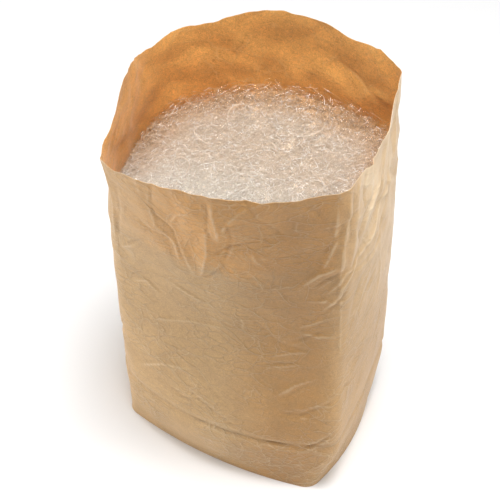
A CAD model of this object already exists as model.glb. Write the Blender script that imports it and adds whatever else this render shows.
"""Looks of an open kraft paper sack of cellophane shred: the creased paper, the shred and a studio.

Metres, +Z up. The wide front panel faces -Y and the right side panel faces +X.

A place on the paper has two coordinates. The first runs around the sack in panels: 0 is the front
left fold, 1 the front right, 2 the back right and 3 the back left, so 0.5 is the middle of the
front. The second runs up the sack, from 0 at the bottom fold to 1 at the sack's height.
"""

import math

import bmesh
import bpy
import numpy as np
from bpy.props import FloatProperty, FloatVectorProperty, IntProperty, PointerProperty
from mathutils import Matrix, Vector, geometry, noise
from mathutils.bvhtree import BVHTree


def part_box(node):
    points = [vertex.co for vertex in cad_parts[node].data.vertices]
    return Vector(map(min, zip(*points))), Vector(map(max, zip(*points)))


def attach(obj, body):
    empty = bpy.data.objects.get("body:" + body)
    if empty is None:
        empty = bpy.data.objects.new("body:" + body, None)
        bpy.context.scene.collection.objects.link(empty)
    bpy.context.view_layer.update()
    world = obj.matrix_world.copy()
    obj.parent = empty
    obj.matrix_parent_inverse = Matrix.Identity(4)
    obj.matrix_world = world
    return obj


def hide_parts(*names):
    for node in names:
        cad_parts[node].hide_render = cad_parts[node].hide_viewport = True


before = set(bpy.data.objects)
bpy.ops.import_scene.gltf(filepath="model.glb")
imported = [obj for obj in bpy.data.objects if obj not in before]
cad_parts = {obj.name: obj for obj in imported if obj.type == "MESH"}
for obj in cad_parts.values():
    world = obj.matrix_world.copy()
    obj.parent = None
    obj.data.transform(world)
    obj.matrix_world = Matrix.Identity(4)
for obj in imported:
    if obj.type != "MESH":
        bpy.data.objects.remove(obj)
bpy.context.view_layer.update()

bl_info = {
    "name": "Bag of Cellophane Shred",
    "version": (1, 0, 0),
    "blender": (4, 5, 0),
    "location": "View3D > Sidebar > Shred Bag",
    "description": "Builds an open kraft sack of cellophane shred in a plain studio",
    "category": "Add Mesh",
}

SACK_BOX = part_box("kraft_bag")
LOOSE_STRANDS = [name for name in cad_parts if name.startswith("loose_strand")]

# How the filled sack stands, from the base up, at shares of its height: its turn about Z in
# degrees, its drift to the right and the back, and each panel's bulge past its corner folds
STANCE_SHARES = (0.0, 0.155, 0.510, 0.955)
TURN = (0.0, 6.2, 5.6, 11.0)
DRIFT_RIGHT = (0.0, 0.012, 0.0, 0.010)
DRIFT_BACK = (0.0, 0.0, 0.015, -0.012)
BULGES = (
    (0.021, 0.038, 0.025, 0.054),
    (0.018, 0.004, 0.017, 0.006),
    (0.022, 0.030, 0.024, 0.040),
    (0.019, 0.044, 0.032, 0.009),
)

# How much narrower the sack is at the floor, and the height over which it widens out
BASE_TUCK = 0.06
TUCK_RISE = 0.100

# Distance round the paper over which each corner fold has opened out, and the number of places
# in it whose mean gives the rounded corner
CORNER_ROUNDING = (0.014, 0.015, 0.010, 0.050)
ROUNDING_SAMPLES = 7

# Rim: its rise at every half panel, its waves, the ripples on them as a share of their height and
# how many times finer, and the share of the sack's height that rises with it
RIM_RISE = (-0.040, -0.002, 0.000, -0.025, 0.012, 0.034, -0.011, 0.018)
RIM_WAVE = 0.0045
RIM_WAVE_LENGTH = 0.045
RIM_RIPPLE = 0.45
RIM_RIPPLE_FINENESS = 2.7
RIM_REACH = 0.30

# Small bends and nicks of the rim along the back, as distance round the paper and rise
RIM_NICKS = (
    (0.560, 0.000), (0.586, -0.006), (0.611, 0.005), (0.630, 0.000), (0.646, -0.005),
    (0.668, -0.005), (0.688, 0.000), (0.755, 0.002), (0.811, 0.003), (0.836, 0.000),
    (0.852, -0.005), (0.876, -0.002), (0.902, 0.005), (0.918, 0.006), (0.936, 0.004),
    (0.962, -0.005), (0.988, -0.003), (1.008, 0.000), (1.045, 0.004), (1.064, 0.006),
    (1.080, 0.006), (1.096, -0.006), (1.112, -0.003), (1.136, 0.000),
)

# Folds pressed into the paper, the broad ones first: depth and half width in millimetres, above
# zero where the paper is pushed out, then the places that the fold runs through
FOLDS = (
    (-1.596, 21, (0.25, 1.00), (0.25, 0.85)),
    (-1.064, 15, (0.17, 0.81), (0.25, 0.75)),
    (-1.596, 18, (0.28, 0.79), (0.32, 0.73), (0.37, 0.66)),
    (1.368, 15, (0.33, 0.79), (0.37, 0.73), (0.42, 0.66)),
    (1.368, 21, (0.50, 1.00), (0.52, 0.90), (0.52, 0.83)),
    (-1.596, 24, (0.44, 1.00), (0.46, 0.91), (0.41, 0.77), (0.41, 0.68)),
    (1.368, 18, (0.48, 0.88), (0.46, 0.77), (0.44, 0.67)),
    (-1.596, 18, (0.56, 0.80), (0.53, 0.71), (0.48, 0.68)),
    (0.836, 13.5, (0.08, 0.51), (0.18, 0.54)),
    (0.836, 15, (0.42, 0.64), (0.48, 0.58)),
    (1.368, 18, (0.13, 0.62), (0.09, 0.70)),
    (-1.596, 18, (1.22, 1.00), (1.19, 0.91), (1.19, 0.76)),
    (1.368, 21, (1.68, 0.81), (1.35, 0.79), (1.26, 0.76)),
    (-1.064, 18, (1.63, 0.72), (1.42, 0.72), (1.20, 0.74)),
    (1.368, 15, (1.02, 0.82), (0.95, 0.77), (0.90, 0.74), (0.83, 0.69), (0.76, 0.68)),
    (-1.064, 15, (1.00, 0.75), (0.93, 0.70), (0.86, 0.66)),
    (1.368, 15, (1.03, 0.73), (0.95, 0.66), (0.89, 0.62)),
    (0.836, 13.5, (0.66, 0.61), (0.78, 0.61), (0.92, 0.63)),
    (-1.596, 18, (0.70, 0.56), (0.76, 0.57), (0.84, 0.58)),
    (0.836, 15, (0.95, 0.95), (0.95, 0.87), (0.93, 0.77)),
    (-1.064, 15, (0.90, 0.92), (0.90, 0.84)),
    (-1.064, 15, (1.20, 0.58), (1.04, 0.54)),
    (0.836, 12, (0.74, 0.33), (0.88, 0.37), (0.94, 0.41)),
    (-1.064, 12, (0.74, 0.28), (0.85, 0.28), (0.94, 0.30), (1.04, 0.35)),
    (0.836, 12, (0.66, 0.41), (0.78, 0.42), (0.88, 0.45)),
    (-1.596, 28.5, (1.50, 1.00), (1.50, 0.60)),
    (-1.596, 28.5, (3.50, 1.00), (3.48, 0.62)),
    (1.368, 24, (3.92, 1.00), (3.90, 0.80)),
    (-1.064, 21, (3.80, 1.00), (3.84, 0.84), (3.80, 0.70)),
    (1.368, 24, (3.20, 0.98), (3.26, 0.82), (3.38, 0.70)),
    (-1.064, 21, (2.72, 1.00), (2.66, 0.88), (2.74, 0.74)),
    (1.368, 24, (2.42, 1.00), (2.46, 0.84), (2.36, 0.70)),
    (-1.596, 24, (2.12, 0.98), (2.20, 0.80), (2.16, 0.66)),
    (0.836, 21, (2.90, 0.60), (2.60, 0.56), (2.30, 0.60)),
    (-1.4, 4, (0.25, 0.97), (0.23, 0.88), (0.25, 0.85), (0.32, 0.82), (0.35, 0.75), (0.40, 0.65)),
    (1.3, 4, (0.23, 0.94), (0.23, 0.87), (0.25, 0.81), (0.33, 0.77), (0.35, 0.68)),
    (-1.3, 4, (0.15, 0.81), (0.23, 0.78), (0.30, 0.78), (0.32, 0.74)),
    (1.9, 5, (0.50, 0.99), (0.50, 0.94), (0.52, 0.88), (0.52, 0.82)),
    (-1.7, 5, (0.47, 0.99), (0.48, 0.94), (0.48, 0.87), (0.50, 0.82)),
    (1.6, 4, (0.47, 0.85), (0.47, 0.77), (0.45, 0.69), (0.43, 0.66)),
    (-1.7, 5, (0.55, 0.94), (0.57, 0.86), (0.55, 0.79), (0.53, 0.73), (0.48, 0.68), (0.42, 0.65)),
    (1.3, 5, (0.57, 0.80), (0.53, 0.74), (0.50, 0.69)),
    (1.6, 5, (0.32, 0.82), (0.32, 0.85), (0.35, 0.89), (0.42, 0.92)),
    (-1.3, 4, (0.07, 0.70), (0.10, 0.67), (0.15, 0.70), (0.18, 0.72)),
    (1.6, 5, (0.05, 0.68), (0.07, 0.64), (0.15, 0.68)),
    (1.6, 5, (0.08, 0.52), (0.17, 0.55), (0.22, 0.53), (0.23, 0.51)),
    (-1.4, 5, (0.42, 0.65), (0.48, 0.57)),
    (1.6, 4, (0.03, 0.86), (0.03, 0.82), (0.03, 0.75), (0.02, 0.66), (0.03, 0.63)),
    (-1.3, 4, (0.07, 0.88), (0.07, 0.79), (0.05, 0.72), (0.05, 0.65)),
    (-3.1, 6, (1.25, 1.00), (1.20, 0.94), (1.20, 0.88)),
    (2.0, 8, (1.50, 0.91), (1.40, 0.88), (1.27, 0.86), (1.20, 0.83), (1.17, 0.76)),
    (-2.0, 8, (1.38, 0.89), (1.25, 0.88), (1.15, 0.84), (1.12, 0.80)),
    (2.8, 6, (1.65, 0.82), (1.52, 0.81), (1.40, 0.79), (1.27, 0.76), (1.12, 0.75), (0.97, 0.70)),
    (-2.0, 8, (1.57, 0.78), (1.50, 0.75), (1.43, 0.72), (1.32, 0.71), (1.17, 0.72), (1.03, 0.72)),
    (1.7, 8, (1.53, 0.86), (1.68, 0.80), (1.85, 0.75)),
    (-1.7, 6, (1.08, 0.88), (1.17, 0.78)),
    (-1.7, 6, (1.00, 0.85), (1.08, 0.87)),
    (3.0, 8, (1.00, 0.99), (1.00, 0.92), (0.98, 0.82), (0.98, 0.77)),
    (1.6, 5, (0.95, 0.97), (0.95, 0.85), (0.92, 0.78), (0.90, 0.75)),
    (-1.6, 5, (0.98, 0.90), (0.95, 0.87), (0.93, 0.82)),
    (2.2, 6, (0.83, 0.70), (0.90, 0.75), (0.98, 0.78)),
    (-1.8, 5, (0.87, 0.69), (0.92, 0.73), (1.00, 0.77)),
    (2.0, 5, (0.93, 0.68), (1.00, 0.75), (1.17, 0.74)),
    (1.8, 5, (0.92, 0.62), (0.98, 0.68), (1.00, 0.74)),
    (-1.8, 5, (0.93, 0.62), (1.00, 0.67), (1.05, 0.71)),
    (1.5, 8, (1.42, 0.72), (1.50, 0.61), (1.47, 0.55), (1.43, 0.51)),
    (1.2, 4, (0.98, 0.82), (0.98, 0.72), (1.00, 0.60), (1.02, 0.46)),
    (-1.6, 4, (0.67, 0.41), (0.77, 0.43), (0.88, 0.45)),
    (1.4, 5, (0.75, 0.33), (0.83, 0.37), (0.92, 0.40)),
    (-1.4, 5, (0.77, 0.32), (0.85, 0.36), (0.93, 0.39)),
    (-1.6, 5, (0.75, 0.28), (0.85, 0.28), (1.03, 0.34)),
    (1.4, 5, (0.82, 0.55), (0.90, 0.58), (0.98, 0.61)),
    (-1.2, 5, (0.78, 0.49), (0.88, 0.53), (0.97, 0.57)),
    (1.4, 5, (0.83, 0.65), (0.92, 0.66), (0.98, 0.69)),
    (-1.8, 4, (0.35, 0.18), (0.50, 0.18), (0.68, 0.18)),
    (-2.2, 4, (0.66, 0.18), (0.88, 0.17), (0.93, 0.19), (1.00, 0.23)),
    (-2.2, 8, (1.04, 1.00), (1.035, 0.91), (1.02, 0.84)),
    (1.9, 9, (1.11, 1.00), (1.09, 0.90), (1.05, 0.80), (1.03, 0.74)),
    (1.7, 8, (1.31, 1.00), (1.30, 0.93), (1.25, 0.87)),
    (-1.7, 8, (1.37, 1.00), (1.35, 0.91), (1.31, 0.84)),
    (2.7, 10, (1.62, 0.97), (1.52, 0.89), (1.45, 0.80)),
    (-2.2, 9, (1.72, 0.96), (1.62, 0.88), (1.58, 0.78)),
    (2.5, 10, (1.86, 1.00), (1.84, 0.90), (1.76, 0.80)),
    (-1.5, 8, (1.24, 0.70), (1.14, 0.64), (1.08, 0.56)),
    (1.5, 8, (1.32, 0.68), (1.20, 0.61), (1.12, 0.52)),
    (-2.0, 4, (0.97, 0.05), (1.03, 0.07), (1.23, 0.02)),
    (-1.8, 4, (0.90, 0.05), (0.97, 0.05)),
    (1.6, 4, (0.93, 0.07), (0.97, 0.11), (1.08, 0.11)),
    (1.2, 5, (0.18, 0.43), (0.38, 0.48), (0.57, 0.50)),
    (-1.0, 5, (0.22, 0.35), (0.45, 0.38), (0.65, 0.40)),
)
# Short folds laid at random between them: how many, how low they reach and how closely they
# crowd to the rim, the height above which they stand upright, how much they lean and bend, the
# distance from their middle to their ends, and their depths and half widths in millimetres
SCATTERED_FOLDS = 90
SCATTER_LOWEST = 0.25
SCATTER_CROWDING = 1.6
UPRIGHT_ABOVE = 0.7
SCATTER_LEAN = 0.5
SCATTER_BEND = 0.25
SCATTER_REACH = (0.02, 0.07)
SCATTER_DEPTH = (0.8, 2.0)
SCATTER_WIDTH = (4, 7)
# A panel's width that turns their run round the paper to panels, and how much of a bend goes up
MEAN_PANEL = 0.3
BEND_UPWARDS = 0.4

# A fold's ends fade out over this length, to this share of its depth, and its edge is rounded
FOLD_FADE = 0.030
FOLD_END = 0.25
FOLD_RADIUS = 0.0022

# The fold that goes round the sack at the top of its pasted bottom
BLOCK_FOLD_DEPTH = 0.0022
BLOCK_FOLD_WIDTH = 0.010

# How far the front left corner flares out at the rim, over what distance round the paper, and
# the share of the height where the flare starts
CORNER_FLARE = 0.006
CORNER_FLARE_REACH = 0.07
FLARE_START = 0.8

# Small crumples all over: their size, how deep they are where the paper is filled and empty, and
# the height over which they grow from the flat bottom. The paper goes from filled to empty
# between two heights, which are measured from the top of the shred at its middle.
CRUMPLE_SIZE = 0.055
CRUMPLE_FILLED = 0.0016
CRUMPLE_EMPTY = 0.0034
CRUMPLE_RISE = 0.05
LOOSE_PAPER = (-0.12, 0.03)

# Flat facets between random folds: the steps of their net round and up the paper, their depth,
# the shares of it where the paper is filled and empty, and its strength at every half panel.
# They are pleats in the empty paper, crushed paper that fades below it and level sags lower down.
FACET_NETS = (
    ((0.030, 0.085), 0.0048, 0.00, 1.0, (1.0, 0.5, 0.9, 1.0, 0.6, 0.4, 0.5, 0.8)),
    ((0.034, 0.034), 0.0024, 0.25, 1.0, (1.0, 0.6, 1.0, 0.9, 0.7, 0.7, 0.8, 0.9)),
    ((0.110, 0.024), 0.0012, 1.00, 0.3, (0.5, 0.6, 1.0, 0.9, 0.8, 0.8, 0.8, 0.7)),
)
# How far a net's corners stray, as a share of a step, how far it runs on past the last fold, and
# how high it goes, as a share of the sack's height
NET_STRAY = 0.42
NET_OVERLAP = 0.2
NET_HEIGHT = 1.2

# Fine creases, too small to model, as the edges of facets: the facets' lean in degrees, their
# length and height in millimetres, the lines' width as a share of them, the size in millimetres
# of the patches that they lie in, and the two levels between which a patch fades in
WRINKLES = (
    (0, (67, 31), 0.030, 110, 0.44, 0.60),
    (90, (59, 29), 0.030, 140, 0.49, 0.62),
    (28, (53, 23), 0.028, 125, 0.45, 0.60),
    (-32, (50, 21), 0.028, 100, 0.46, 0.62),
    (12, (26, 12), 0.034, 83, 0.44, 0.60),
)
# How far the facets' edges stray, as a share of a facet, how far the paper's clouds sway the
# edges of its tones, how pale the creases are worn, and how sharp a ridge the rim is worn like
FACET_STRAY = 0.7
CLOUD_SWAY = 0.10
LINE_WEAR = 0.22
RIM_WEAR = 0.5

# Shred: how far its top falls from the middle to the wall at every half panel, and its tufts,
# with smaller ones on them as a share of their height and how many times finer. They fade out
# over a share of the way in from the wall.
FILL_FALL = (0.052, 0.058, 0.050, 0.008, -0.018, -0.030, 0.024, 0.055)
TUFT_SIZE = 0.038
TUFT_HEIGHT = 0.005
TUFT_RIPPLE = 0.2
TUFT_RIPPLE_FINENESS = 2.3
TUFT_FADE = 0.25

# Gaps between the shred and the paper, in millimetres: under it, at its top edge, down its wall
# and how far down that wall gap is reached, and beside the strands
FLOOR_GAP = 1.2
EDGE_GAP = 3
WALL_GAP = 9
WALL_GAP_DEPTH = 30
STRAND_GAP = 2.4

# Where the wall is measured for the strands: places round it, levels, and how far those reach
# above and below the middle of the fill
WALL_PLACES = 480
WALL_LEVELS = 10
WALL_REACH = 0.09

# Strands, in millimetres: their lengths, the length over which they turn once and the heights
# that they lie at over the tufts. Then their thickness as a share of their width, their sway in
# radians, the slope that they lie on, and their twist at the start and from there to the end, in
# radians.
STRAND_LENGTHS = (20, 54)
STRAND_CURL = 34
STRAND_LAYER = (-1.5, 4)
STRAND_THICKNESS = 0.4
STRAND_SWAY = (0.2, 1.2)
STRAND_SLOPE = 0.24
STRAND_TWIST = (0.5, 1.0)
STRAND_STEPS = 5
STRAND_LAYERS = 4

# The shares of the way out where the last strands lie and where the fringe starts, how many
# millimetres the fringe climbs the wall, and how few of its strands get there
LAST_STRANDS = 0.995
FRINGE_START = 0.87
FRINGE_CLIMB = 26
FRINGE_SPARSENESS = 2.5

# The share of the strands that glint, the length of a glint in steps, and how strongly it shines
GLINT_SHARE = 0.30
GLINT_STEPS = 0.5
GLINT_GLOW = 0.28

# How strongly the kraft's warm light tints the film, at the wall and towards the back, and where
# it comes in: on the way out to the wall, and on the way back, from -1 at the front to 1
WALL_WARMTH = 0.65
WALL_GLOW_RUN = (0.62, 1.02)
WALL_GLOW_SIDE = (-1.2, 0.8)
BACK_WARMTH = 0.33
BACK_GLOW_RUN = (-0.35, 0.20)

# The sack's mesh: columns in each panel, and rows in the pasted bottom, the lower and the upper
# part and the rim. The panels that the photograph shows are the finest. The upper part's fine
# rows start at a share of the height, and the rim's row is some millimetres high.
COLUMNS = (134, 86, 56, 38)
ROWS = (18, 30, 103, 1)
FINE_ROWS_START = 0.42
RIM_ROW = 1.5

# The shred's mesh: segments round it, and rings in all, over its top and down its wall
CORE_SEGMENTS = 160
CORE_RINGS = 60
TOP_RINGS = 34
WALL_RINGS = 22

# Studio: the softboxes' places and sizes in metres and their shares of the lamp power, the
# height of the point that they face, the light from all round, and the height looked at
SOFTBOXES = (
    ("left_softbox", (-2.1, -0.7, 0.55), 0.7, 1.12),
    ("right_softbox", (2.0, 0.5, 1.05), 0.7, 0.46),
    ("top_softbox", (0.30, -0.2, 2.4), 0.8, 2.2),
)
LAMPS_FACE = 0.35
AIR_GLOW = 0.40
LOOK_HEIGHT = 0.3574

MM = 0.001


def linear(hex_colour):
    """A linear colour from an sRGB hex value."""
    channels = [int(hex_colour[place:place + 2], 16) / 255 for place in (1, 3, 5)]
    return tuple(c / 12.92 if c <= 0.04045 else ((c + 0.055) / 1.055) ** 2.4 for c in channels)


class SackSettings(bpy.types.PropertyGroup):
    front_width: FloatProperty(
        name="Front Width", description="Width of the front panel", default=0.350, unit="LENGTH"
    )
    side_width: FloatProperty(
        name="Side Width", description="Width of a side panel", default=0.230, unit="LENGTH"
    )
    height: FloatProperty(
        name="Height", description="Bottom fold to the mean rim", default=0.650, unit="LENGTH"
    )
    paper: FloatProperty(
        name="Paper", description="Thickness of the paper", default=0.0004, unit="LENGTH",
        precision=5,
    )
    outer_colour: FloatVectorProperty(
        name="Outer Colour", description="Kraft paper in daylight", default=linear("#bc9868"),
        subtype="COLOR",
    )
    inner_colour: FloatVectorProperty(
        name="Inner Colour", description="Kraft paper inside the sack", default=linear("#dc9f56"),
        subtype="COLOR",
    )


class ShredSettings(bpy.types.PropertyGroup):
    fill_height: FloatProperty(
        name="Fill Height", description="Top of the shred at its middle", default=0.510,
        unit="LENGTH",
    )
    strand_count: IntProperty(
        name="Strands", description="Strands in each of four layers", default=6000
    )
    strand_width: FloatProperty(
        name="Strand Width", description="Width of one cut strand", default=0.00065, unit="LENGTH",
        precision=5,
    )
    film_colour: FloatVectorProperty(
        name="Film Colour", description="Clear film over film", default=linear("#fff5e4"),
        subtype="COLOR",
    )
    core_colour: FloatVectorProperty(
        name="Core Colour", description="Film deep between strands", default=linear("#fff2df"),
        subtype="COLOR",
    )


class StageSettings(bpy.types.PropertyGroup):
    azimuth: FloatProperty(
        name="Azimuth", description="Camera's turn to the right of the front",
        default=math.radians(28.1), subtype="ANGLE",
    )
    elevation: FloatProperty(
        name="Elevation", description="Camera's height angle", default=math.radians(47.17),
        subtype="ANGLE",
    )
    distance: FloatProperty(
        name="Distance", description="Camera to the sack", default=2.005, unit="LENGTH"
    )
    lens: FloatProperty(
        name="Lens", description="Focal length in millimetres", default=100.5
    )
    lamp_power: FloatProperty(
        name="Lamp Power", description="Watts that each softbox has its share of", default=24.0
    )


def ramp(value, start, end):
    """Rises smoothly from 0 at the start to 1 at the end."""
    share = np.clip((value - start) / (end - start), 0.0, 1.0)
    return share * share * (3 - 2 * share)


def curve_through(places, values):
    """A smooth rule through values at rising places, which never overshoots them."""
    places, values = np.array(places, float), np.array(values, float)
    steps = np.diff(places)
    rises = np.diff(values) / steps
    slopes = [rises[0]]
    for before, after in zip(rises, rises[1:]):
        slopes.append(0.0 if before * after <= 0 else 2 * before * after / (before + after))
    slopes = np.array(slopes + [rises[-1]])

    def rule(place):
        place = np.asarray(place, float)
        span = np.clip(np.searchsorted(places, place, side="left") - 1, 0, len(steps) - 1)
        step = steps[span]
        share = (place - places[span]) / step
        rest = 1 - share
        start_part = (1 + 2 * share) * rest**2 * values[span]
        end_part = share**2 * (3 - 2 * share) * values[span + 1]
        bend = share * rest * (rest * slopes[span] - share * slopes[span + 1]) * step
        beyond = values[-1] + slopes[-1] * (share - 1) * step
        return np.where(share > 1, beyond, start_part + end_part + bend)

    return rule


def deselect_all():
    if bpy.context.mode != "OBJECT":
        bpy.ops.object.mode_set(mode="OBJECT")
    bpy.ops.object.select_all(action="DESELECT")


def point_faces_outwards():
    bpy.ops.object.mode_set(mode="EDIT")
    bpy.ops.mesh.select_all(action="SELECT")
    bpy.ops.mesh.normals_make_consistent(inside=False)
    bpy.ops.object.mode_set(mode="OBJECT")


def corners_of(mesh):
    """The mesh's points, one to a row."""
    flat = np.empty(len(mesh.vertices) * 3)
    mesh.vertices.foreach_get("co", flat)
    return flat.reshape(-1, 3)


def store(mesh, trait, values):
    """Stores a trait of each vertex, for a material to read."""
    attribute = mesh.attributes.new(trait, "FLOAT", "POINT")
    attribute.data.foreach_set("value", np.asarray(values, np.float32))


class PaperForm:
    """Where the filled sack's paper lies, for arrays of distances round it and heights up it."""

    def __init__(self, sack, fill_height):
        self.height = sack.height
        self.fill_height = fill_height
        self.panels = np.array((sack.front_width, sack.side_width) * 2)
        self.starts = np.concatenate(([0.0], np.cumsum(self.panels)[:-1]))
        self.perimeter = self.panels.sum()
        self.block_fold = sack.side_width / 2
        self.turn = curve_through(STANCE_SHARES, np.radians(TURN))
        self.drift = [curve_through(STANCE_SHARES, drift) for drift in (DRIFT_RIGHT, DRIFT_BACK)]
        self.bulges = [curve_through(STANCE_SHARES, bulge) for bulge in BULGES]
        self.rounding = np.array(CORNER_ROUNDING)
        self.rim_rise = self.round_rule(RIM_RISE)
        self.fall = self.round_rule(FILL_FALL)
        self.nets = [
            (self.fold_net(seed, steps), depth, filled, empty, self.round_rule(strength))
            for seed, (steps, depth, filled, empty, strength) in enumerate(FACET_NETS)
        ]
        self.folds = (*FOLDS, *self.scattered_folds())

    def along(self, panel_place):
        """Metres round the paper from the front left fold to a place given in panels."""
        panel = int(panel_place) % 4
        return self.starts[panel] + (panel_place % 1) * self.panels[panel]

    def panel_at(self, distance):
        """The panel at a distance round the paper, and the share of it that is passed there."""
        distance = distance % self.perimeter
        panel = np.searchsorted(self.starts, distance, side="right") - 1
        return panel, (distance - self.starts[panel]) / self.panels[panel]

    def corner_folds(self, bulges):
        """The four corner folds. A bulged panel spans less, because its paper keeps its width."""
        front, right, back, left = (
            width - 8 * bulge**2 / (3 * width) for width, bulge in zip(self.panels, bulges)
        )
        x = np.stack((-front / 2, front / 2, back / 2, -back / 2))
        y = np.stack((-left / 2, -right / 2, right / 2, left / 2))
        return np.stack((x, y), axis=-1)

    @staticmethod
    def outwards(run):
        """Unit vectors that point out of the sack where the paper runs this way round it."""
        outward = np.stack((run[:, 1], -run[:, 0]), axis=-1)
        return outward / np.linalg.norm(outward, axis=1, keepdims=True)

    def sharp(self, distance, folds, bulges):
        """The bulged panels' outline, with sharp corner folds."""
        panel, share = self.panel_at(distance)
        pick = np.arange(len(distance))
        start, end = folds[panel, pick], folds[(panel + 1) % 4, pick]
        run = end - start
        swell = 4 * share * (1 - share) * bulges[panel, pick]
        return start + run * share[:, None] + self.outwards(run) * swell[:, None]

    def outline(self, distance, height):
        """The smooth outline, with the corner folds opened out over their rounding."""
        share = height / self.height
        bulges = np.stack([rule(share) for rule in self.bulges])
        folds = self.corner_folds(bulges)
        panel, along_panel = self.panel_at(distance)
        rounding = self.rounding[panel] * (1 - along_panel)
        rounding = rounding + self.rounding[(panel + 1) % 4] * along_panel
        offsets = np.linspace(-1, 1, ROUNDING_SAMPLES)
        samples = [self.sharp(distance + rounding * offset, folds, bulges) for offset in offsets]
        place = sum(samples) / len(samples)
        place *= (1 - BASE_TUCK * (1 - ramp(height, 0, TUCK_RISE)))[:, None]
        turn = self.turn(share)
        x = place[:, 0] * np.cos(turn) - place[:, 1] * np.sin(turn) + self.drift[0](share)
        y = place[:, 0] * np.sin(turn) + place[:, 1] * np.cos(turn) + self.drift[1](share)
        return np.stack((x, y), axis=-1)

    def outward(self, distance, height):
        """The way out of the sack at places on the smooth outline."""
        step = 4 * MM
        run = self.outline(distance + step, height) - self.outline(distance - step, height)
        return self.outwards(run)

    def round_rule(self, values):
        """A smooth rule by distance round the paper, through values at every half panel."""
        places = [self.along(number / 2) for number in range(len(values))]
        before = [place - self.perimeter for place in places[-2:]]
        after = [place + self.perimeter for place in places[:2]]
        rule = curve_through(before + places + after, values[-2:] + values + values[:2])
        return lambda distance: rule(distance % self.perimeter)

    def rim(self, distance):
        """How far the wavy rim stands above the sack's height."""
        turn = 2 * np.pi * distance / self.perimeter
        radius = self.perimeter / (2 * np.pi * RIM_WAVE_LENGTH)
        ring = radius * np.stack((np.cos(turn), np.sin(turn), np.zeros_like(turn)), axis=-1)
        waves = [
            noise.noise(place) + RIM_RIPPLE * noise.noise(place * RIM_RIPPLE_FINENESS)
            for place in ring
        ]
        places, rises = zip(*RIM_NICKS)
        nicks = np.interp(distance % self.perimeter, places, rises)
        return self.rim_rise(distance) + RIM_WAVE * np.array(waves) + nicks

    def fold_net(self, seed, steps):
        """A sheet of flat facets over the flat paper, which rise and fall by up to 1."""
        chance = np.random.default_rng(seed)
        columns = round(self.perimeter / steps[0])
        rows = round(NET_HEIGHT * self.height / steps[1])
        spots = np.stack(np.meshgrid(np.arange(columns), np.arange(rows)), axis=-1)
        spots = spots + chance.uniform(-NET_STRAY, NET_STRAY, spots.shape)
        spots *= (self.perimeter / columns, steps[1])
        heights = chance.uniform(-1, 1, spots.shape[:2])
        rounds = [spots + (turn * self.perimeter, 0) for turn in (-1, 0, 1)]
        flat = np.concatenate(rounds, axis=1).reshape(-1, 2)
        heights = np.concatenate([heights] * 3, axis=1).ravel()
        near = (flat[:, 0] > -NET_OVERLAP) & (flat[:, 0] < self.perimeter + NET_OVERLAP)
        flat, heights = flat[near], heights[near]
        spots, _, faces, sources, *_ = geometry.delaunay_2d_cdt(
            [Vector(spot) for spot in flat], [], [], 0, 1e-7
        )
        corners = [(*spot, heights[source[0]]) for spot, source in zip(spots, sources)]
        return BVHTree.FromPolygons(corners, faces)

    def facet_heights(self, net, distance, height):
        """How high a net's facets are at places on the paper."""
        down = Vector((0, 0, -1))
        hits = [
            net.ray_cast(Vector((around, up, 2)), down)[0]
            for around, up in zip(distance % self.perimeter, height)
        ]
        return np.array([hit.z if hit else 0 for hit in hits])

    def scattered_folds(self):
        """Short folds at random, most of them in the empty paper and many of them upright."""
        chance = np.random.default_rng(5)
        folds = []
        for _ in range(SCATTERED_FOLDS):
            u = chance.uniform(0.02, 3.98)
            v = 1 - (1 - SCATTER_LOWEST) * chance.uniform() ** SCATTER_CROWDING
            lean = chance.normal(0, SCATTER_LEAN) + (0 if v > UPRIGHT_ABOVE else math.pi / 2)
            reach = chance.uniform(*SCATTER_REACH)
            step = (math.sin(lean) * reach / MEAN_PANEL, math.cos(lean) * reach / self.height)
            bend = chance.normal(0, SCATTER_BEND)
            middle = (u + step[0] - bend * step[1], v + step[1] + bend * step[0] * BEND_UPWARDS)
            end = (u + 2 * step[0], v + 2 * step[1])
            line = [(min(max(a, 0.0), 3.999), b) for a, b in ((u, v), middle, end)]
            depth = chance.choice((-1, 1)) * chance.uniform(*SCATTER_DEPTH)
            folds.append((depth, chance.uniform(*SCATTER_WIDTH), *line))
        return folds

    def crease_push(self, distance, height):
        """How far the pressed folds push the paper out."""
        place = np.stack((distance % self.perimeter, height), axis=-1)
        push = np.zeros(len(distance))
        for depth, half_width, *places in self.folds:
            points = np.array([(self.along(u), v * self.height) for u, v in places])
            lines = np.diff(points, axis=0)
            lengths = np.linalg.norm(lines, axis=1)
            nearest = np.full(len(distance), np.inf)
            run = np.zeros(len(distance))
            for start, line, length, passed in zip(
                points, lines, lengths, np.cumsum(lengths) - lengths
            ):
                share = np.clip((place - start) @ line / length**2, 0, 1)
                gap = np.linalg.norm(place - start - share[:, None] * line, axis=1)
                run = np.where(gap < nearest, passed + share * length, run)
                nearest = np.minimum(nearest, gap)
            from_end = np.minimum(run, lengths.sum() - run)
            fade = FOLD_END + (1 - FOLD_END) * ramp(from_end, 0, FOLD_FADE)
            gap = np.sqrt(nearest**2 + FOLD_RADIUS**2) - FOLD_RADIUS
            flank = np.maximum(0, 1 - gap / (half_width * MM))
            push += depth * MM * flank**2 * fade
        fold_gap = np.abs(height - self.block_fold)
        push -= BLOCK_FOLD_DEPTH * np.maximum(0, 1 - fold_gap / BLOCK_FOLD_WIDTH)
        to_corner = np.minimum(place[:, 0], self.perimeter - place[:, 0])
        lift = ramp(height / self.height, FLARE_START, 1)
        return push + CORNER_FLARE * lift * np.maximum(0, 1 - to_corner / CORNER_FLARE_REACH)

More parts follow.
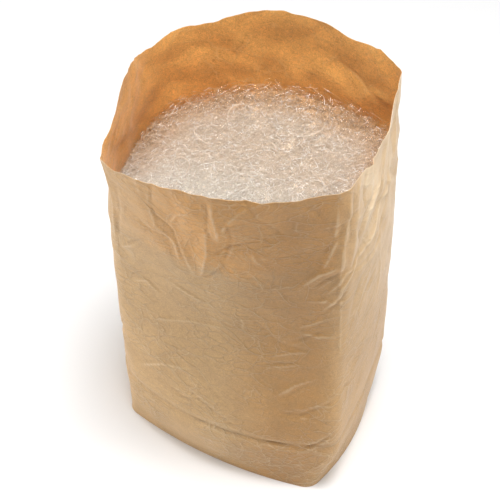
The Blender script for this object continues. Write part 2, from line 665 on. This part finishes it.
    def crumple_push(self, points, distance):
        """Small crumples all over, and the facets between the paper's random folds."""
        height = points[:, 2]
        loose = ramp(height - self.fill_height, *LOOSE_PAPER)
        size = CRUMPLE_FILLED + (CRUMPLE_EMPTY - CRUMPLE_FILLED) * loose
        push = size * np.array([noise.noise(Vector(point) / CRUMPLE_SIZE) for point in points])
        for net, depth, filled, empty, strength in self.nets:
            facets = self.facet_heights(net, distance, height) * depth * strength(distance)
            push += facets * (filled + (empty - filled) * loose)
        return push * ramp(height, 0, CRUMPLE_RISE)

    def paper(self, distance, height, inset=0.0):
        """Points of the sack's outer face, and how far its folds push it there."""
        smooth = np.column_stack((self.outline(distance, height), height))
        push = self.crease_push(distance, height) + self.crumple_push(smooth, distance)
        smooth[:, :2] += self.outward(distance, height) * (push - inset)[:, None]
        return smooth, push

    def shred_edge(self, distance, inset):
        """Points where the shred's top meets the wall."""
        return self.paper(distance, self.fill_height - self.fall(distance), inset)[0]

    def base_centre(self):
        """Middle of the outline's box at the floor, where the CAD sack stands off-centre."""
        distance = np.linspace(0, self.perimeter, 400)
        base = self.outline(distance, np.zeros(400))
        return (base.min(axis=0) + base.max(axis=0)) / 2


def cad_base_centre():
    """Middle of the CAD sack's box at the floor."""
    points = corners_of(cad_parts["kraft_bag"].data)
    floor = points[points[:, 2] < points[:, 2].min() + 0.1 * MM][:, :2]
    return (floor.min(axis=0) + floor.max(axis=0)) / 2


def sack_form(scene):
    """The form of the filled sack, and the shift that stands it where the CAD sack stands."""
    form = PaperForm(scene.paper_sack, scene.paper_shred.fill_height)
    return form, cad_base_centre() - form.base_centre()


def add_node(tree, kind, settings=None, links=None):
    """Adds one shader node, sets its properties and sockets, and links its inputs."""
    node = tree.nodes.new(kind)
    for key, value in (settings or {}).items():
        if isinstance(key, int) or key in node.inputs:
            node.inputs[key].default_value = value
        else:
            setattr(node, key, value)
    for key, source in (links or {}).items():
        tree.links.new(source, node.inputs[key])
    return node


def new_material(name):
    material = bpy.data.materials.new(name)
    material.use_nodes = True
    material.node_tree.nodes.clear()
    return material, material.node_tree


def crease_lines(tree, flat, lean, facet, width):
    """Thin worn lines round the facets of crumpled paper, and the shaded band along them, each 0
    away from the line and 1 on it. The facets lean up from the level by an angle in degrees."""
    laid = add_node(
        tree, "ShaderNodeMapping",
        {"vector_type": "TEXTURE", "Rotation": (0, 0, math.radians(lean)),
         "Scale": (facet[0] * MM, facet[1] * MM, 1)},
        {"Vector": flat},
    ).outputs["Vector"]
    drift = add_node(
        tree, "ShaderNodeTexNoise", {"noise_dimensions": "2D", "Scale": 1.1, "Detail": 1.0},
        {"Vector": laid},
    )
    bent = add_node(
        tree, "ShaderNodeVectorMath",
        {"operation": "MULTIPLY_ADD", 1: (FACET_STRAY, FACET_STRAY, 0.0)},
        {0: drift.outputs["Color"], 2: laid},
    )
    facets = add_node(
        tree, "ShaderNodeTexVoronoi",
        {"voronoi_dimensions": "2D", "feature": "DISTANCE_TO_EDGE", "Scale": 1.0},
        {"Vector": bent.outputs["Vector"]},
    ).outputs["Distance"]
    return [
        add_node(
            tree, "ShaderNodeMapRange",
            {"From Min": near, "From Max": far, "To Min": 1.0, "To Max": 0.0},
            {"Value": facets},
        ).outputs["Result"]
        for near, far in ((0.0, width), (width, 4 * width))
    ]


def kraft_material(name, colours, glow_band, side_glow, mottle, relief):
    """Unbleached kraft, pressed on a wire and lightly calendered: soft clouds of fibre, fine
    flecks, worn pale lines where it was creased, and a warmer tone where light comes through."""
    paper, deep, worn = colours
    material, tree = new_material(name)
    place = add_node(tree, "ShaderNodeTexCoord").outputs["Object"]
    flat = add_node(tree, "ShaderNodeUVMap", {"uv_map": "UVMap"}).outputs["UV"]
    around = add_node(tree, "ShaderNodeSeparateXYZ", None, {"Vector": flat}).outputs["X"]
    height = add_node(tree, "ShaderNodeSeparateXYZ", None, {"Vector": place}).outputs["Z"]
    fold = add_node(tree, "ShaderNodeAttribute", {"attribute_name": "fold"}).outputs["Fac"]

    # Clouds, uneven formation and flecks of fibre, with their sizes in millimetres. Real flecks
    # are under 1 mm. They are drawn at 3 mm, as fine as the render shows.
    clouds, formation, flecks = (
        add_node(
            tree, "ShaderNodeTexNoise",
            {"Scale": 1 / (size * MM), "Detail": detail, "Roughness": 0.6, "Distortion": bend},
            {"Vector": place},
        ).outputs["Fac"]
        for size, detail, bend in ((42, 4.0, 0.0), (11, 3.0, 0.0), (3, 2.0, 1.6))
    )
    sway = add_node(
        tree, "ShaderNodeMath", {"operation": "MULTIPLY_ADD", 1: CLOUD_SWAY}, {0: clouds, 2: height}
    ).outputs["Value"]

    # Where each trait starts and ends, in metres round or up the paper or in the pattern's own
    # value, and what it is there. The light through the paper and the handling differ by side.
    parts = {"clouds": clouds}
    for part, source, start, end, low, high, soft in (
        ("glow", sway, *glow_band, 0.0, 1.0, True),
        ("front", around, 0.31, 0.36, 1.0, side_glow, True),
        ("middle", around, 0.02, 0.15, side_glow, 1.0, True),
        ("old", around, 0.16, 0.29, 0.0, 1 - side_glow, True),
        ("uneven", formation, 0.35, 0.65, 0.75, 1.10, False),
        ("aside", around, 0.33, 0.42, 0.0, 1.6 * (1 - side_glow), True),
        ("behind", around, 0.50, 0.62, 1.0, 0.35, True),
        ("upper", sway, 0.30, 0.66, 0.0, 1.0, False),
        ("ridge", fold, 0.10, 0.60, 0.0, 0.34, False),
        ("valley", fold, -0.60, -0.12, 0.84, 1.0, False),
        ("cloud tone", clouds, 0.3, 0.7, 1 - mottle, 1 + mottle, False),
        ("fleck tone", flecks, 0.3, 0.7, 1 - 2 * mottle, 1 + 2 * mottle, False),
    ):
        parts[part] = add_node(
            tree, "ShaderNodeMapRange",
            {"From Min": start, "From Max": end, "To Min": low, "To Max": high,
             "interpolation_type": "SMOOTHSTEP" if soft else "LINEAR"},
            {"Value": source},
        ).outputs["Result"]
    for part, first, *others in (
        ("aged", "old", "front"),
        ("aged glow", "aged", "uneven"),
        ("lit glow", "glow", "front", "middle", "uneven"),
        ("rubbed", "aside", "behind", "upper", "clouds"),
    ):
        parts[part] = parts[first]
        for other in others:
            parts[part] = add_node(
                tree, "ShaderNodeMath", {"operation": "MULTIPLY"},
                {0: parts[part], 1: parts[other]},
            ).outputs["Value"]

    # The worn lines and the shaded bands of all the sets of creases, each set in its patches
    sums = [None, None]
    for lean, facet, width, patch, low, high in WRINKLES:
        cloud = add_node(
            tree, "ShaderNodeTexNoise", {"Scale": 1 / (patch * MM), "Detail": 2.0},
            {"Vector": place},
        )
        where = add_node(
            tree, "ShaderNodeMapRange",
            {"From Min": low, "From Max": high, "interpolation_type": "SMOOTHSTEP"},
            {"Value": cloud.outputs["Fac"]},
        )
        for number, line in enumerate(crease_lines(tree, flat, lean, facet, width)):
            links = {0: line, 1: where.outputs["Result"]}
            if sums[number]:
                links[2] = sums[number]
            sums[number] = add_node(
                tree, "ShaderNodeMath", {"operation": "MULTIPLY_ADD", 2: 0.0}, links
            ).outputs["Value"]
    lines, bands = sums

    deepened = add_node(
        tree, "ShaderNodeMath", {"operation": "MAXIMUM"},
        {0: parts["aged glow"], 1: parts["lit glow"]},
    )
    shade = add_node(
        tree, "ShaderNodeMix", {"data_type": "RGBA", "A": (*paper, 1), "B": (*deep, 1)},
        {"Factor": deepened.outputs["Value"]},
    ).outputs["Result"]
    for part, source, darkest in (("aged tone", parts["aged"], 0.66), ("band tone", bands, 0.93)):
        parts[part] = add_node(
            tree, "ShaderNodeMapRange", {"To Min": 1.0, "To Max": darkest}, {"Value": source}
        ).outputs["Result"]
    for part in ("cloud tone", "fleck tone", "valley", "aged tone", "band tone"):
        shade = add_node(
            tree, "ShaderNodeVectorMath", {"operation": "SCALE"}, {0: shade, "Scale": parts[part]}
        ).outputs["Vector"]
    handled = add_node(
        tree, "ShaderNodeMath", {"operation": "ADD"}, {0: parts["ridge"], 1: parts["rubbed"]}
    )
    wear = add_node(
        tree, "ShaderNodeMath", {"operation": "MULTIPLY_ADD", 1: LINE_WEAR, "use_clamp": True},
        {0: lines, 2: handled.outputs["Value"]},
    )
    finished = add_node(
        tree, "ShaderNodeMix", {"data_type": "RGBA", "B": (*worn, 1)},
        {"Factor": wear.outputs["Value"], "A": shade},
    )

    grain = add_node(
        tree, "ShaderNodeBump", {"Strength": 0.5, "Distance": 0.3 * MM}, {"Height": flecks}
    )
    creased = add_node(tree, "ShaderNodeMath", {"operation": "ADD"}, {0: lines, 1: bands})
    bump = add_node(
        tree, "ShaderNodeBump", {"Strength": 0.8, "Distance": relief},
        {"Height": creased.outputs["Value"], "Normal": grain.outputs["Normal"]},
    )
    shader = add_node(
        tree, "ShaderNodeBsdfPrincipled",
        {"Roughness": 0.55, "Sheen Weight": 0.12, "Sheen Roughness": 0.3},
        {"Base Color": finished.outputs["Result"], "Normal": bump.outputs["Normal"]},
    )
    add_node(tree, "ShaderNodeOutputMaterial", None, {"Surface": shader.outputs["BSDF"]})
    return material


def film_material(name, colour, alpha):
    """Cellophane, cast as a clear glossy film and cut fine: it scatters to a milky white in bulk,
    glints where a curl catches the light, and takes on the warm light of the kraft behind it."""
    material, tree = new_material(name)
    place = add_node(tree, "ShaderNodeTexCoord").outputs["Object"]
    warmth, glint = (
        add_node(tree, "ShaderNodeAttribute", {"attribute_name": trait}).outputs["Fac"]
        for trait in ("warmth", "glint")
    )
    clusters = add_node(
        tree, "ShaderNodeTexNoise", {"Scale": 1 / (2.4 * MM), "Detail": 2.0}, {"Vector": place}
    )
    tone = add_node(
        tree, "ShaderNodeMapRange",
        {"From Min": 0.3, "From Max": 0.7, "To Min": 0.90, "To Max": 1.06},
        {"Value": clusters.outputs["Fac"]},
    )
    warmed = add_node(
        tree, "ShaderNodeMix",
        {"data_type": "RGBA", "A": (*colour, 1), "B": (*linear("#ecb87f"), 1)},
        {"Factor": warmth},
    )
    bright = add_node(
        tree, "ShaderNodeMix", {"data_type": "RGBA", "B": (1, 1, 1, 1)},
        {"Factor": glint, "A": warmed.outputs["Result"]},
    )
    tint = add_node(
        tree, "ShaderNodeVectorMath", {"operation": "SCALE"},
        {0: bright.outputs["Result"], "Scale": tone.outputs["Result"]},
    )
    cover = add_node(
        tree, "ShaderNodeMapRange", {"To Min": alpha, "To Max": 1.0}, {"Value": glint}
    )
    sparkle = add_node(
        tree, "ShaderNodeMath", {"operation": "MULTIPLY", 1: GLINT_GLOW}, {0: glint}
    )
    # Light bounces between the strands, so each is shaded as if it faced mostly up
    facing = add_node(tree, "ShaderNodeNewGeometry").outputs["Normal"]
    lifted = add_node(
        tree, "ShaderNodeVectorMath", {"operation": "ADD", 1: (0.0, 0.0, 1.5)}, {0: facing}
    )
    evened = add_node(
        tree, "ShaderNodeVectorMath", {"operation": "NORMALIZE"}, {0: lifted.outputs["Vector"]}
    )
    shader = add_node(
        tree, "ShaderNodeBsdfPrincipled",
        {"Roughness": 0.12, "IOR": 1.47, "Specular IOR Level": 1.0,
         "Emission Color": (1, 1, 1, 1)},
        {"Base Color": tint.outputs["Vector"], "Alpha": cover.outputs["Result"],
         "Normal": evened.outputs["Vector"], "Emission Strength": sparkle.outputs["Value"]},
    )
    add_node(tree, "ShaderNodeOutputMaterial", None, {"Surface": shader.outputs["BSDF"]})
    return material


def even_places(stops, counts):
    """Places from the first stop to the last, with each stretch cut into its own even count."""
    runs = [
        np.linspace(start, end, count, endpoint=False)
        for start, end, count in zip(stops, stops[1:], counts)
    ]
    return np.concatenate(runs + [stops[-1:]])


def lay_flat_map(mesh, distance, height):
    """Sets the mesh's UV map to the places on the flat paper, in metres."""
    corners = np.empty(len(mesh.loops), int)
    mesh.loops.foreach_get("vertex_index", corners)
    places = np.column_stack((distance, height))[corners]
    mesh.uv_layers.active.data.foreach_set("uv", places.ravel())


def mark_folds(mesh, column, row, push, columns, rows):
    """Stores how sharply the paper folds at each vertex: above zero on a ridge."""
    grid = np.zeros((len(rows), len(columns)))
    grid[row, column] = push
    bend = np.zeros_like(grid)
    for axis, places in ((0, rows), (1, columns)):
        rise = np.diff(grid, axis=axis) / np.expand_dims(np.diff(places), 1 - axis)
        inner = (slice(1, -1), slice(None))[:: 1 if axis == 0 else -1]
        bend[inner] -= np.diff(rise, axis=axis)
    bend[-1] = RIM_WEAR
    store(mesh, "fold", np.clip(bend[row, column], -1, 1))


class MESH_OT_paper_sack(bpy.types.Operator):
    """Rolls a flat sheet to the sack's tube, closes its bottom and gives the paper its thickness"""

    bl_idname = "mesh.add_paper_sack"
    bl_label = "Paper Sack"

    def execute(self, context):
        sack = context.scene.paper_sack
        form, shift = sack_form(context.scene)
        columns = even_places([*form.starts, form.perimeter], COLUMNS)
        fine, rim = FINE_ROWS_START * form.height, form.height - RIM_ROW * MM
        rows = even_places([0.0, form.block_fold, fine, rim, form.height], ROWS)
        deselect_all()
        bpy.ops.mesh.primitive_grid_add(
            x_subdivisions=len(columns) - 1, y_subdivisions=len(rows) - 1, size=1.0
        )
        sheet = context.object
        sheet.name = sheet.data.name = "sack_paper"
        flat = corners_of(sheet.data)
        column = np.rint((flat[:, 0] + 0.5) * (len(columns) - 1)).astype(int)
        row = np.rint((flat[:, 1] + 0.5) * (len(rows) - 1)).astype(int)
        distance, height = columns[column], rows[row]
        reach = ramp(height / form.height, 1 - RIM_REACH, 1)
        height = height + reach * form.rim(distance)
        points, push = form.paper(distance, height)
        points[:, :2] += shift
        sheet.data.vertices.foreach_set("co", points.ravel())
        lay_flat_map(sheet.data, distance, height)
        mark_folds(sheet.data, column, row, push, columns, rows)
        bpy.ops.object.mode_set(mode="EDIT")
        bpy.ops.mesh.select_all(action="SELECT")
        bpy.ops.mesh.remove_doubles(threshold=0.01 * MM)
        bpy.ops.mesh.select_all(action="DESELECT")
        shape = bmesh.from_edit_mesh(sheet.data)
        for edge in shape.edges:
            edge.select = edge.is_boundary and edge.verts[0].co.z < 1 * MM
        bmesh.update_edit_mesh(sheet.data)
        bpy.ops.mesh.edge_face_add()
        point_faces_outwards()
        outer = kraft_material(
            "calendered_kraft_outside",
            (sack.outer_colour, linear("#cb944f"), linear("#e3cba9")),
            glow_band=(0.47, 0.55), side_glow=0.25, mottle=0.08, relief=0.42 * MM,
        )
        inner = kraft_material(
            "calendered_kraft_inside",
            (sack.inner_colour, linear("#e2a85d"), linear("#f0c88b")),
            glow_band=(0.55, 0.67), side_glow=1.0, mottle=0.13, relief=0.10 * MM,
        )
        for material in (outer, inner):
            sheet.data.materials.append(material)
        wall = sheet.modifiers.new("paper", "SOLIDIFY")
        wall.thickness = sack.paper
        wall.offset = -1.0
        wall.material_offset = 1
        wall.material_offset_rim = 0
        bpy.ops.object.modifier_apply(modifier="paper")
        bpy.ops.object.shade_smooth_by_angle(angle=math.radians(50))
        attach(sheet, "root")
        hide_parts("kraft_bag")
        return {"FINISHED"}


class ShredBed:
    """The shred's domed top and the wall round it, by polar place about its middle."""

    def __init__(self, form, shift):
        self.form = form
        share = np.array([form.fill_height / form.height])
        self.middle = np.array([rule(share)[0] for rule in form.drift]) + shift
        around = np.linspace(0, form.perimeter, WALL_PLACES, endpoint=False)
        edge = form.shred_edge(around, EDGE_GAP * MM)
        self.angle, self.reach, self.level = self.polar(edge + (*shift, 0))
        self.levels = form.fill_height + np.linspace(-WALL_REACH, WALL_REACH, WALL_LEVELS)
        walls = []
        for level in self.levels:
            ring, _ = form.paper(around, np.full(len(around), level), STRAND_GAP * MM)
            angle, reach, _ = self.polar(ring + (*shift, 0))
            walls.append(np.interp(self.angle, angle, reach, period=2 * np.pi))
        self.walls = np.array(walls)

    def polar(self, points):
        """Angles in rising order, with the reach and height of each point."""
        arm = points[:, :2] - self.middle
        angle = np.arctan2(arm[:, 1], arm[:, 0])
        order = np.argsort(angle)
        return angle[order], np.linalg.norm(arm, axis=1)[order], points[order, 2]

    def top(self, xy):
        """Height of the tufted top over places, and their share of the way out to the wall."""
        arm = xy - self.middle
        angle = np.arctan2(arm[:, 1], arm[:, 0])
        reach = np.interp(angle, self.angle, self.reach, period=2 * np.pi)
        level = np.interp(angle, self.angle, self.level, period=2 * np.pi)
        outness = np.linalg.norm(arm, axis=1) / reach
        dome = self.form.fill_height + (level - self.form.fill_height) * outness**2
        places = [Vector((x, y, 0)) / TUFT_SIZE for x, y in xy]
        tufts = [
            noise.noise(place) + TUFT_RIPPLE * noise.noise(place * TUFT_RIPPLE_FINENESS)
            for place in places
        ]
        return dome + TUFT_HEIGHT * np.array(tufts) * ramp(1 - outness, 0, TUFT_FADE), outness

    def mark_warmth(self, mesh, points):
        """Stores on a mesh how much of the walls' warm light falls on each vertex."""
        _, outness = self.top(points[:, :2])
        arm = points[:, :2] - self.middle
        back = arm[:, 1] / np.linalg.norm(arm, axis=1).max()
        wall = WALL_WARMTH * ramp(outness, *WALL_GLOW_RUN) * ramp(back, *WALL_GLOW_SIDE)
        store(mesh, "warmth", wall + BACK_WARMTH * ramp(back, *BACK_GLOW_RUN))

    def inside(self, points):
        """The points, with those past the wall drawn in to it."""
        arm = points[:, :2] - self.middle
        angle = np.arctan2(arm[:, 1], arm[:, 0])
        level = (points[:, 2] - self.levels[0]) / (self.levels[1] - self.levels[0])
        level = np.clip(level, 0, len(self.levels) - 1.001)
        low = level.astype(int)
        share = level - low
        rings = [np.interp(angle, self.angle, wall, period=2 * np.pi) for wall in self.walls]
        rings = np.array(rings)
        pick = np.arange(len(points))
        wall = rings[low, pick] * (1 - share) + rings[low + 1, pick] * share
        reach = np.linalg.norm(arm, axis=1)
        scale = np.minimum(1, wall / np.maximum(reach, MM))
        points[:, :2] = self.middle + arm * scale[:, None]
        return points


def strand_lines(bed, count, chance):
    """Middle lines of curled strands laid over the bed."""
    # More spots than strands, because some fall past the shred's edge
    low, high = SACK_BOX
    spots = chance.uniform((low.x, low.y), (high.x, high.y), (4 * count, 2))
    ground, outness = bed.top(spots)
    near = np.flatnonzero(outness < LAST_STRANDS)[:count]
    spots, ground, outness = spots[near], ground[near], outness[near]
    layer = chance.uniform(*STRAND_LAYER, count) * MM
    climb = FRINGE_CLIMB * chance.uniform(0, 1, count) ** FRINGE_SPARSENESS * MM
    fringe = ramp(outness, FRINGE_START, 1) * climb
    length = chance.uniform(*STRAND_LENGTHS, count) * MM
    curl = chance.normal(0, 2 * np.pi / (STRAND_CURL * MM), count)
    heading = chance.uniform(0, 2 * np.pi, count)
    sway = chance.uniform(*STRAND_SWAY, count)
    phase = chance.uniform(0, 2 * np.pi, count)
    slope = chance.normal(0, STRAND_SLOPE, (count, 2))
    step = np.linspace(-0.5, 0.5, STRAND_STEPS + 1)
    run = length[:, None] * step
    angle = heading[:, None] + curl[:, None] * run
    angle = angle + sway[:, None] * np.sin(2 * np.pi * step + phase[:, None])
    ahead = np.stack((np.cos(angle), np.sin(angle)), axis=-1)
    pace = (length / STRAND_STEPS)[:, None, None]
    line = np.cumsum(ahead * pace, axis=1)
    line -= line.mean(axis=1, keepdims=True)
    rise = (line * slope[:, None]).sum(axis=-1)
    lines = np.concatenate((line + spots[:, None], rise[..., None]), axis=-1)
    # A strand is stiff, so it follows the tufts under it only half way
    under, _ = bed.top(lines[..., :2].reshape(-1, 2))
    ground = (ground[:, None] + under.reshape(count, -1)) / 2
    lines[..., 2] += ground + (layer + fringe)[:, None]
    return lines


def glints(count, chance):
    """How strongly each step of each strand catches the light: a short stretch of some strands."""
    step = np.arange(STRAND_STEPS + 1)
    middle = chance.uniform(0, STRAND_STEPS, (count, 1))
    caught = chance.uniform(0, 1, (count, 1)) < GLINT_SHARE
    return caught * np.exp(-((step - middle) / GLINT_STEPS) ** 2)


def ribbon_corners(lines, width, chance):
    """The three corners of a thin ribbon's section at each step of each line."""
    ahead = np.gradient(lines, axis=1)
    ahead /= np.linalg.norm(ahead, axis=-1, keepdims=True)
    across = np.cross(ahead, (0.0, 0.0, 1.0))
    across /= np.linalg.norm(across, axis=-1, keepdims=True) + 1e-9
    facing = np.cross(across, ahead)
    steps = np.linspace(0, 1, lines.shape[1])
    start, onward = (chance.normal(0, spread, (len(lines), 1)) for spread in STRAND_TWIST)
    twist = start + onward * steps
    corners = []
    for turn in (0, 2 * np.pi / 3, 4 * np.pi / 3):
        wide = width / 2 * math.cos(turn)
        thin = width / 2 * STRAND_THICKNESS * math.sin(turn)
        side = wide * np.cos(twist) - thin * np.sin(twist)
        lift = wide * np.sin(twist) + thin * np.cos(twist)
        corners.append(lines + across * side[..., None] + facing * lift[..., None])
    return np.stack(corners, axis=2)


class MESH_OT_shred_core(bpy.types.Operator):
    """Shapes the settled mass of shred under the strands, down to the bottom of the sack"""

    bl_idname = "mesh.add_shred_core"
    bl_label = "Shred Core"

    def execute(self, context):
        form, shift = sack_form(context.scene)
        bed = ShredBed(form, shift)
        deselect_all()
        bpy.ops.mesh.primitive_uv_sphere_add(
            segments=CORE_SEGMENTS, ring_count=CORE_RINGS, radius=1.0
        )
        core = context.object
        core.name = core.data.name = "shred_core"
        ball = corners_of(core.data)
        ring = np.rint(np.arccos(np.clip(ball[:, 2], -1, 1)) * CORE_RINGS / np.pi)
        turn = np.arctan2(ball[:, 1], ball[:, 0]) / (2 * np.pi)
        turn = np.rint(turn * CORE_SEGMENTS) / CORE_SEGMENTS
        around = (form.along(0.5) + turn * form.perimeter) % form.perimeter
        level = form.fill_height - form.fall(around)
        down = np.clip((ring - TOP_RINGS) / WALL_RINGS, 0, 1)
        height = level + (FLOOR_GAP * MM - level) * down
        inset = EDGE_GAP + (WALL_GAP - EDGE_GAP) * ramp(level - height, 0, WALL_GAP_DEPTH * MM)
        points, _ = form.paper(around, height, inset * MM)
        points[:, :2] += shift
        under_rings = CORE_RINGS - TOP_RINGS - WALL_RINGS
        outness = np.minimum(ring / TOP_RINGS, (CORE_RINGS - ring) / under_rings)
        outness = np.minimum(outness, 1)
        points[:, :2] = bed.middle + (points[:, :2] - bed.middle) * outness[:, None]
        top = ring < TOP_RINGS
        points[top, 2], _ = bed.top(points[top, :2])
        core.data.vertices.foreach_set("co", points.ravel())
        bed.mark_warmth(core.data, points)
        core.data.materials.append(
            film_material("cellophane_packed", context.scene.paper_shred.core_colour, alpha=1.0)
        )
        point_faces_outwards()
        bpy.ops.object.shade_smooth()
        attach(core, "root")
        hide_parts("cellophane_shred")
        return {"FINISHED"}


class MESH_OT_shred_strands(bpy.types.Operator):
    """Lays thousands of curled strands of film over the shred's top"""

    bl_idname = "mesh.add_shred_strands"
    bl_label = "Shred Strands"

    def execute(self, context):
        shred = context.scene.paper_shred
        bed = ShredBed(*sack_form(context.scene))
        film = film_material("cellophane_cut", shred.film_colour, alpha=0.38)
        chance = np.random.default_rng(11)
        for number in range(1, STRAND_LAYERS + 1):
            deselect_all()
            bpy.ops.mesh.primitive_circle_add(vertices=3, radius=1.0, fill_type="NGON")
            layer = context.object
            layer.name = layer.data.name = f"shred_strands_{number}"
            bpy.ops.object.mode_set(mode="EDIT")
            bpy.ops.mesh.select_all(action="SELECT")
            for _ in range(STRAND_STEPS):
                bpy.ops.mesh.extrude_region_move(TRANSFORM_OT_translate={"value": (0, 0, 1)})
            bpy.ops.object.mode_set(mode="OBJECT")
            copies = layer.modifiers.new("copies", "ARRAY")
            copies.count = shred.strand_count
            copies.use_relative_offset = False
            copies.use_constant_offset = True
            copies.constant_offset_displace = (5, 0, 0)
            bpy.ops.object.modifier_apply(modifier="copies")
            size = len(layer.data.vertices) // shred.strand_count
            first = corners_of(layer.data)[:size]
            step = np.rint(first[:, 2]).astype(int)
            corner = np.rint(np.arctan2(first[:, 1], first[:, 0]) * 3 / (2 * np.pi)).astype(int)
            lines = strand_lines(bed, shred.strand_count, chance)
            corners = ribbon_corners(lines, shred.strand_width, chance)
            points = corners[:, step, corner % 3].reshape(-1, 3)
            points = bed.inside(points)
            layer.data.vertices.foreach_set("co", points.ravel())
            bed.mark_warmth(layer.data, points)
            shine = glints(shred.strand_count, chance)[:, step].ravel()
            store(layer.data, "glint", shine)
            layer.data.materials.append(film)
            point_faces_outwards()
            bpy.ops.object.shade_smooth()
            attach(layer, "root")
        return {"FINISHED"}


class OBJECT_OT_loose_strands(bpy.types.Operator):
    """Gives the loose strands on the shred their film"""

    bl_idname = "object.dress_loose_strands"
    bl_label = "Loose Strands"

    def execute(self, context):
        shred = context.scene.paper_shred
        film = film_material("cellophane_loose", shred.film_colour, alpha=0.20)
        for name in LOOSE_STRANDS:
            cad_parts[name].material_slots[0].material = film
        return {"FINISHED"}


class SCENE_OT_studio(bpy.types.Operator):
    """Sets the floor, the softboxes, the world and the camera"""

    bl_idname = "scene.add_studio"
    bl_label = "Studio"

    def execute(self, context):
        scene = context.scene
        stage = scene.shred_stage
        _, shift = sack_form(scene)
        deselect_all()
        bpy.ops.mesh.primitive_plane_add(size=30.0, location=(0, 0, 0))
        floor = context.object
        floor.name = "studio_floor"
        material, tree = new_material("matt_white_floor")
        shader = add_node(
            tree, "ShaderNodeBsdfPrincipled",
            {"Base Color": (0.93, 0.93, 0.93, 1), "Roughness": 0.9, "Specular IOR Level": 0.1},
        )
        add_node(tree, "ShaderNodeOutputMaterial", None, {"Surface": shader.outputs["BSDF"]})
        floor.data.materials.append(material)

        scene.view_settings.view_transform = "Standard"
        world = bpy.data.worlds.new("studio_air")
        scene.world = world
        world.use_nodes = True
        air = world.node_tree.nodes["Background"]
        air.inputs["Color"].default_value = (1, 1, 1, 1)
        air.inputs["Strength"].default_value = AIR_GLOW

        azimuth, elevation = stage.azimuth, stage.elevation
        back = Vector((
            math.sin(azimuth) * math.cos(elevation),
            -math.cos(azimuth) * math.cos(elevation),
            math.sin(elevation),
        ))
        look = Vector((*shift, LOOK_HEIGHT))
        camera = bpy.data.objects.new("studio_camera", bpy.data.cameras.new("studio_camera"))
        scene.collection.objects.link(camera)
        camera.data.lens = stage.lens
        camera.data.sensor_width = 36
        camera.location = look + back * stage.distance
        camera.rotation_euler = back.to_track_quat("Z", "Y").to_euler()
        scene.camera = camera

        for name, place, size, share in SOFTBOXES:
            lamp = bpy.data.lights.new(name, "AREA")
            lamp.shape = "SQUARE"
            lamp.size = size
            lamp.energy = stage.lamp_power * share
            softbox = bpy.data.objects.new(name, lamp)
            softbox.location = place
            away = Vector(place) - Vector((0, 0, LAMPS_FACE))
            softbox.rotation_euler = away.to_track_quat("Z", "Y").to_euler()
            scene.collection.objects.link(softbox)
        return {"FINISHED"}


class VIEW3D_PT_shred_bag(bpy.types.Panel):
    """Sizes and colours of the bag, and the buttons that build it"""

    bl_label = "Bag of Cellophane Shred"
    bl_space_type = "VIEW_3D"
    bl_region_type = "UI"
    bl_category = "Shred Bag"

    def draw(self, context):
        scene = context.scene
        for settings, *operators in (
            (scene.paper_sack, MESH_OT_paper_sack),
            (
                scene.paper_shred,
                MESH_OT_shred_core, MESH_OT_shred_strands, OBJECT_OT_loose_strands,
            ),
            (scene.shred_stage, SCENE_OT_studio),
        ):
            box = self.layout.box()
            for name in settings.bl_rna.properties.keys():
                if name not in ("rna_type", "name"):
                    box.prop(settings, name)
            for operator in operators:
                box.operator(operator.bl_idname)


CLASSES = (
    SackSettings, ShredSettings, StageSettings, MESH_OT_paper_sack, MESH_OT_shred_core,
    MESH_OT_shred_strands, OBJECT_OT_loose_strands, SCENE_OT_studio, VIEW3D_PT_shred_bag,
)


def register():
    for kind in CLASSES:
        bpy.utils.register_class(kind)
    bpy.types.Scene.paper_sack = PointerProperty(type=SackSettings)
    bpy.types.Scene.paper_shred = PointerProperty(type=ShredSettings)
    bpy.types.Scene.shred_stage = PointerProperty(type=StageSettings)


def unregister():
    del bpy.types.Scene.paper_sack
    del bpy.types.Scene.paper_shred
    del bpy.types.Scene.shred_stage
    for kind in reversed(CLASSES):
        bpy.utils.unregister_class(kind)


def main():
    register()
    bpy.ops.mesh.add_paper_sack()
    bpy.ops.mesh.add_shred_core()
    bpy.ops.mesh.add_shred_strands()
    bpy.ops.object.dress_loose_strands()
    bpy.ops.scene.add_studio()


if __name__ == "__main__":
    main()
